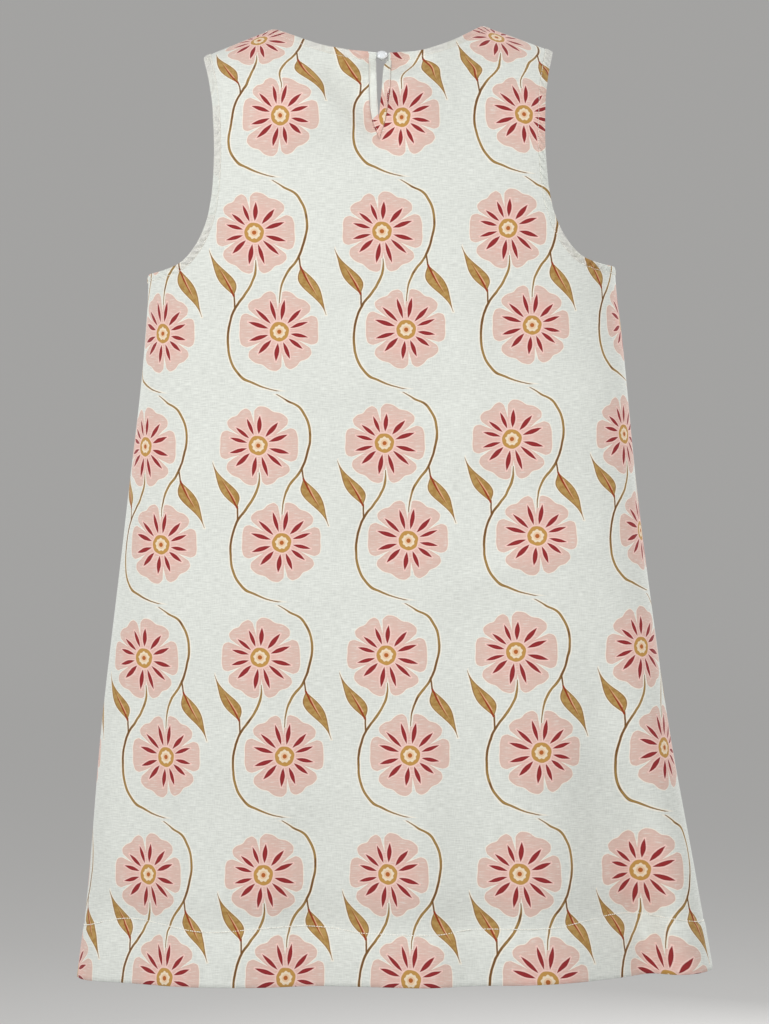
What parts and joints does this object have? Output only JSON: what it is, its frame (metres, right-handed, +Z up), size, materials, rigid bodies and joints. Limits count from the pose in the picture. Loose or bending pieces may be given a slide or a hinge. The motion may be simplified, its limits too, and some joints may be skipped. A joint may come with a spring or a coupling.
{
  "type": "a-line dress",
  "caption": "Sleeveless knee-length a-line dress, filled out as worn, with a bound round neck, a back keyhole with a domed button and loop, bound armholes and a deep turned hem.",
  "frame": {"origin": "midway between the shoulders, level with the middle of the shoulder seams, in the plane of the side seams", "axes": "+Z up, -Y out of the wearer's front, +Y out of the back with its keyhole, +X to the wearer's left"},
  "size_m": [0.632, 0.276, 0.9417],
  "materials": {
    "printed_linen": "matte off-white linen weave with a scattered pink flower and stem print",
    "bound_edge": "matte off-white linen, folded and topstitched",
    "pearl_button": "pearly gloss",
    "loop_thread": "matte twisted thread"
  },
  "bodies": {
    "root": {"back": "printed_linen", "front": "printed_linen", "armhole_binding_left": "printed_linen", "armhole_binding_right": "printed_linen", "neck_binding": "bound_edge", "keyhole_binding": "bound_edge", "button": "pearl_button", "button_thread": "loop_thread", "button_loop": "loop_thread"}
  },
  "joints": []
}
